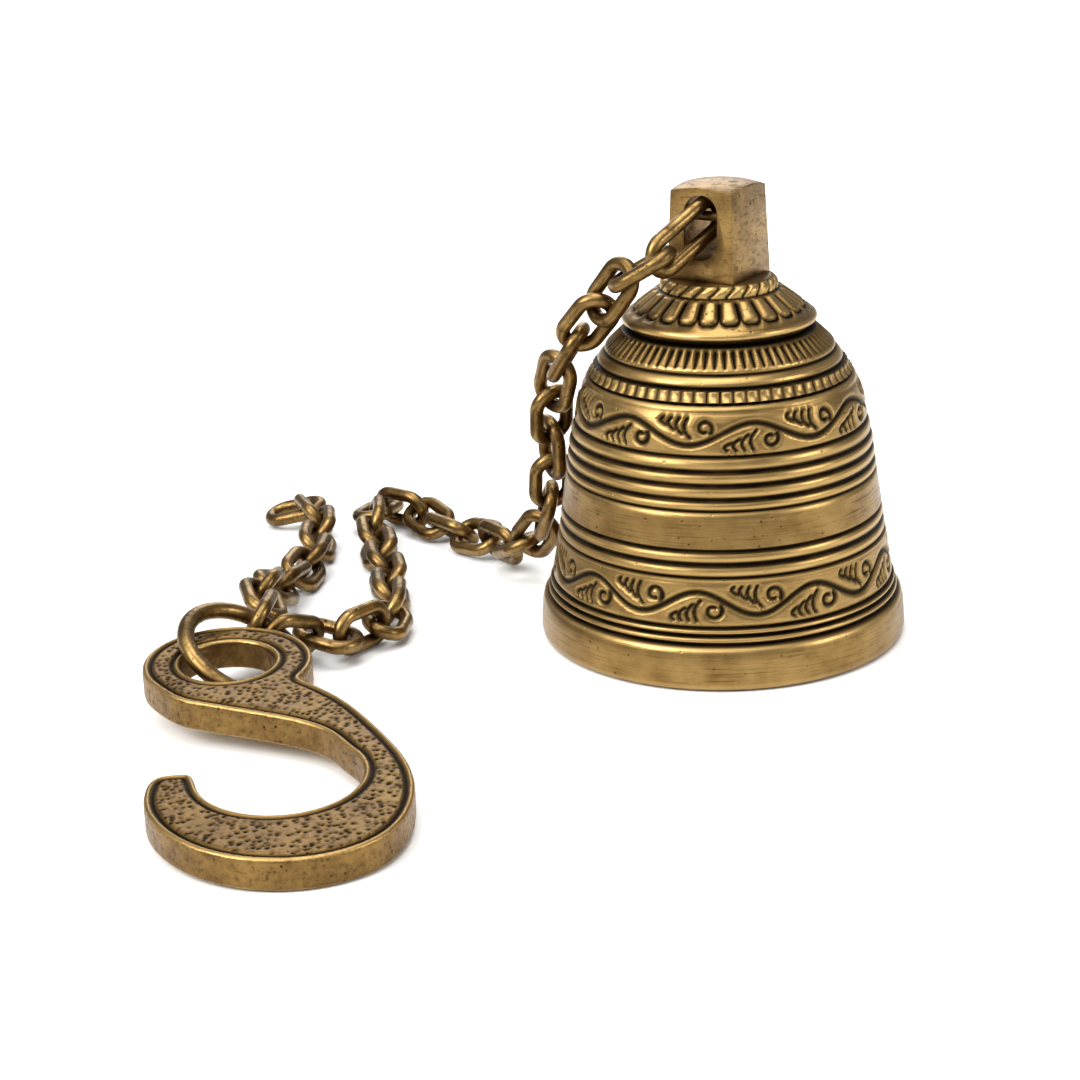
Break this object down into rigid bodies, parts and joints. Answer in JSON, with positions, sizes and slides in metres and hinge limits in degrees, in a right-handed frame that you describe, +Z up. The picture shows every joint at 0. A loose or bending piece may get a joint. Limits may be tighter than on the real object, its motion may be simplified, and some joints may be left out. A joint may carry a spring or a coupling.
{
  "type": "hanging hand bell with chain and hook",
  "caption": "Flared cast bell with engraved bands, a square pierced crown, an inside clapper, a chain of oval links, a jump ring and a flat S-shaped hook.",
  "frame": {"origin": "centre of the bell's mouth, on the surface the bell stands on", "axes": "+Z up along the bell's axis; the bell's front is its -Y side, and the chain falls on its -X side"},
  "size_m": [0.1231, 0.1591, 0.077],
  "materials": {
    "cast_brass": "satin",
    "hook_brass": "satin",
    "inner_brass": "satin",
    "wire_brass": "satin"
  },
  "bodies": {
    "bell": {"bell_body": "cast_brass", "crown_lug": "cast_brass", "crown_pin": "wire_brass", "clapper_staple": "inner_brass"},
    "clapper": {"clapper_rod": "inner_brass", "clapper_ball": "inner_brass"},
    "link_00": {"link_00": "wire_brass"},
    "link_01": {"link_01": "wire_brass"},
    "link_02": {"link_02": "wire_brass"},
    "link_03": {"link_03": "wire_brass"},
    "link_04": {"link_04": "wire_brass"},
    "link_05": {"link_05": "wire_brass"},
    "link_06": {"link_06": "wire_brass"},
    "link_07": {"link_07": "wire_brass"},
    "link_08": {"link_08": "wire_brass"},
    "link_09": {"link_09": "wire_brass"},
    "link_10": {"link_10": "wire_brass"},
    "link_11": {"link_11": "wire_brass"},
    "link_12": {"link_12": "wire_brass"},
    "link_13": {"link_13": "wire_brass"},
    "link_14": {"link_14": "wire_brass"},
    "link_15": {"link_15": "wire_brass"},
    "link_16": {"link_16": "wire_brass"},
    "link_17": {"link_17": "wire_brass"},
    "link_18": {"link_18": "wire_brass"},
    "link_19": {"link_19": "wire_brass"},
    "link_20": {"link_20": "wire_brass"},
    "link_21": {"link_21": "wire_brass"},
    "link_22": {"link_22": "wire_brass"},
    "link_23": {"link_23": "wire_brass"},
    "link_24": {"link_24": "wire_brass"},
    "link_25": {"link_25": "wire_brass"},
    "link_26": {"link_26": "wire_brass"},
    "link_27": {"link_27": "wire_brass"},
    "link_28": {"link_28": "wire_brass"},
    "jump_ring": {"jump_ring": "wire_brass"},
    "spare_01": {"spare_01": "wire_brass"},
    "spare_02": {"spare_02": "wire_brass"},
    "spare_03": {"spare_03": "wire_brass"},
    "spare_04": {"spare_04": "wire_brass"},
    "spare_05": {"spare_05": "wire_brass"},
    "spare_06": {"spare_06": "wire_brass"},
    "spare_07": {"spare_07": "wire_brass"},
    "spare_08": {"spare_08": "wire_brass"},
    "spare_09": {"spare_09": "wire_brass"},
    "spare_10": {"spare_10": "wire_brass"},
    "spare_11": {"spare_11": "wire_brass"},
    "s_hook": {"s_hook": "hook_brass"}
  },
  "joints": [
    {"name": "clapper_swing", "type": "hinge", "parent": "bell", "child": "clapper", "pos_m": [0, 0, 0.044], "axis": [1, 0, 0], "range_deg": [-35, 35]},
    {"name": "first_link_swing", "type": "hinge", "parent": "bell", "child": "link_00", "pos_m": [-0.00143, -0.00247, 0.0714], "axis": [-0.866, 0.5, 0], "range_deg": [0, 12]},
    {"name": "link_01_swing", "type": "hinge", "parent": "link_00", "child": "link_01", "pos_m": [-0.00908, -0.01062, 0.06621], "axis": [-0.3756, 0.4709, 0.7982], "range_deg": [0, 15]},
    {"name": "link_02_swing", "type": "hinge", "parent": "link_01", "child": "link_02", "pos_m": [-0.01405, -0.0093, 0.06331], "axis": [-0.5112, 0.0608, 0.8573], "range_deg": [0, 15]},
    {"name": "link_03_swing", "type": "hinge", "parent": "link_02", "child": "link_03", "pos_m": [-0.02017, -0.00559, 0.05629], "axis": [-0.1842, 0.8234, 0.5368], "range_deg": [0, 15]},
    {"name": "link_04_swing", "type": "hinge", "parent": "link_03", "child": "link_04", "pos_m": [-0.02262, -0.00399, 0.053], "axis": [-0.0545, 0.8227, 0.5658], "range_deg": [0, 15]},
    {"name": "link_05_swing", "type": "hinge", "parent": "link_04", "child": "link_05", "pos_m": [-0.02716, 0.00129, 0.04473], "axis": [0.6566, 0.7138, 0.2436], "range_deg": [0, 15]},
    {"name": "link_06_swing", "type": "hinge", "parent": "link_05", "child": "link_06", "pos_m": [-0.0286, 0.00489, 0.03796], "axis": [-0.5712, 0.703, 0.4236], "range_deg": [0, 15]},
    {"name": "link_07_swing", "type": "hinge", "parent": "link_06", "child": "link_07", "pos_m": [-0.02908, 0.00864, 0.03112], "axis": [0.8829, 0.4381, 0.1692], "range_deg": [0, 15]},
    {"name": "link_08_swing", "type": "hinge", "parent": "link_07", "child": "link_08", "pos_m": [-0.02936, 0.01187, 0.02401], "axis": [-0.3134, 0.8425, 0.4381], "range_deg": [0, 15]},
    {"name": "link_09_swing", "type": "hinge", "parent": "link_08", "child": "link_09", "pos_m": [-0.02971, 0.01379, 0.02007], "axis": [-0.3134, 0.8425, 0.4381], "range_deg": [0, 15]},
    {"name": "link_10_swing", "type": "hinge", "parent": "link_09", "child": "link_10", "pos_m": [-0.03236, 0.01904, 0.01109], "axis": [0.4825, 0.7902, 0.3779], "range_deg": [0, 15]},
    {"name": "link_11_swing", "type": "hinge", "parent": "link_10", "child": "link_11", "pos_m": [-0.03423, 0.02163, 0.00807], "axis": [0.4359, 0.7989, 0.4144], "range_deg": [-15, 15]},
    {"name": "link_12_swing", "type": "hinge", "parent": "link_11", "child": "link_12", "pos_m": [-0.03973, 0.02984, 0.00415], "axis": [-0.7907, -0.6121, 0], "range_deg": [-15, 15]},
    {"name": "link_13_swing", "type": "hinge", "parent": "link_12", "child": "link_13", "pos_m": [-0.04242, 0.03332, 0.00403], "axis": [0.7335, 0.5798, 0.3546], "range_deg": [-15, 15]},
    {"name": "link_14_swing", "type": "hinge", "parent": "link_13", "child": "link_14", "pos_m": [-0.04975, 0.04094, 0.00316], "axis": [-0.459, -0.4498, -0.7661], "range_deg": [-15, 15]},
    {"name": "link_15_swing", "type": "hinge", "parent": "link_14", "child": "link_15", "pos_m": [-0.05408, 0.04503, 0.00293], "axis": [0.7843, 0.6204, 0], "range_deg": [-12, 15]},
    {"name": "link_16_swing", "type": "hinge", "parent": "link_15", "child": "link_16", "pos_m": [-0.06025, 0.0514, 0.00413], "axis": [-0.54, -0.8417, 0], "range_deg": [-15, 12]},
    {"name": "link_17_swing", "type": "hinge", "parent": "link_16", "child": "link_17", "pos_m": [-0.06632, 0.05517, 0.00338], "axis": [-0.9546, 0.298, 0], "range_deg": [-15, 8]},
    {"name": "link_18_swing", "type": "hinge", "parent": "link_17", "child": "link_18", "pos_m": [-0.06698, 0.04816, 0.00406], "axis": [0.9892, 0.1465, 0], "range_deg": [-12, 15]},
    {"name": "link_19_swing", "type": "hinge", "parent": "link_18", "child": "link_19", "pos_m": [-0.06633, 0.04381, 0.00406], "axis": [-0.9335, -0.1383, 0.3308], "range_deg": [-15, 15]},
    {"name": "link_20_swing", "type": "hinge", "parent": "link_19", "child": "link_20", "pos_m": [-0.06443, 0.03357, 0.00324], "axis": [0.6535, 0.144, -0.7431], "range_deg": [-15, 15]},
    {"name": "link_21_swing", "type": "hinge", "parent": "link_20", "child": "link_21", "pos_m": [-0.06294, 0.02766, 0.00338], "axis": [-0.9719, -0.2352, 0], "range_deg": [-15, 15]},
    {"name": "link_22_swing", "type": "hinge", "parent": "link_21", "child": "link_22", "pos_m": [-0.06106, 0.02018, 0.00334], "axis": [0.9749, 0.2225, 0], "range_deg": [-15, 15]},
    {"name": "link_23_swing", "type": "hinge", "parent": "link_22", "child": "link_23", "pos_m": [-0.05933, 0.01274, 0.00329], "axis": [-0.9858, -0.1682, 0], "range_deg": [-15, 15]},
    {"name": "link_24_swing", "type": "hinge", "parent": "link_23", "child": "link_24", "pos_m": [-0.05791, 0.00349, 0.00377], "axis": [0.8332, 0.0993, -0.544], "range_deg": [-15, 15]},
    {"name": "link_25_swing", "type": "hinge", "parent": "link_24", "child": "link_25", "pos_m": [-0.05741, -0.00088, 0.00375], "axis": [-0.8332, -0.0993, 0.544], "range_deg": [-15, 15]},
    {"name": "link_26_swing", "type": "hinge", "parent": "link_25", "child": "link_26", "pos_m": [-0.05944, -0.01043, 0.00423], "axis": [0.7927, -0.6096, 0], "range_deg": [-15, 15]},
    {"name": "link_27_swing", "type": "hinge", "parent": "link_26", "child": "link_27", "pos_m": [-0.06258, -0.01695, 0.00383], "axis": [0.3791, 0.9253, 0], "range_deg": [-12, 15]},
    {"name": "link_28_swing", "type": "hinge", "parent": "link_27", "child": "link_28", "pos_m": [-0.06999, -0.01737, 0.00471], "axis": [0.7652, -0.6438, 0], "range_deg": [-15, 15]},
    {"name": "ring_swing", "type": "hinge", "parent": "link_28", "child": "jump_ring", "pos_m": [-0.0739, -0.02013, 0.00674], "axis": [-0.7949, 0.2954, 0.5299], "range_deg": [-15, 15]},
    {"name": "spare_01_swing", "type": "hinge", "parent": "jump_ring", "child": "spare_01", "pos_m": [-0.07685, -0.01944, 0.00863], "axis": [0.8583, -0.0083, -0.513], "range_deg": [-15, 15]},
    {"name": "spare_02_swing", "type": "hinge", "parent": "spare_01", "child": "spare_02", "pos_m": [-0.07654, -0.01325, 0.00805], "axis": [0.9422, 0.3349, 0], "range_deg": [-15, 15]},
    {"name": "spare_03_swing", "type": "hinge", "parent": "spare_02", "child": "spare_03", "pos_m": [-0.07899, -0.00592, 0.00904], "axis": [-0.9991, -0.0417, 0], "range_deg": [-15, 15]},
    {"name": "spare_04_swing", "type": "hinge", "parent": "spare_03", "child": "spare_04", "pos_m": [-0.07876, 0.00316, 0.00601], "axis": [0.6889, 0.1698, 0.7047], "range_deg": [-10, 15]},
    {"name": "spare_05_swing", "type": "hinge", "parent": "spare_04", "child": "spare_05", "pos_m": [-0.07817, 0.00876, 0.0039], "axis": [-0.9843, 0.1765, 0], "range_deg": [-12, 12]},
    {"name": "spare_06_swing", "type": "hinge", "parent": "spare_05", "child": "spare_06", "pos_m": [-0.07679, 0.01631, 0.00316], "axis": [0.9931, -0.1173, 0], "range_deg": [-12, 15]},
    {"name": "spare_07_swing", "type": "hinge", "parent": "spare_06", "child": "spare_07", "pos_m": [-0.07574, 0.02401, 0.00337], "axis": [-1, -0.0003, 0], "range_deg": [-15, 15]},
    {"name": "spare_08_swing", "type": "hinge", "parent": "spare_07", "child": "spare_08", "pos_m": [-0.0758, 0.03181, 0.00335], "axis": [0.9968, 0.0803, 0], "range_deg": [-15, 15]},
    {"name": "spare_09_swing", "type": "hinge", "parent": "spare_08", "child": "spare_09", "pos_m": [-0.0764, 0.03958, 0.00332], "axis": [-0.9855, -0.1698, 0], "range_deg": [-15, 15]},
    {"name": "spare_10_swing", "type": "hinge", "parent": "spare_09", "child": "spare_10", "pos_m": [-0.07852, 0.04857, 0.00367], "axis": [0.7342, 0.347, 0.5836], "range_deg": [-15, 15]},
    {"name": "spare_11_swing", "type": "hinge", "parent": "spare_10", "child": "spare_11", "pos_m": [-0.08019, 0.05493, 0.00387], "axis": [-0.1201, -0.9928, 0], "range_deg": [-8, 15]},
    {"name": "hook_swing", "type": "hinge", "parent": "jump_ring", "child": "s_hook", "pos_m": [-0.08515, -0.03513, 0.01014], "axis": [0.4041, -0.8168, -0.4118], "range_deg": [0, 15]}
  ]
}
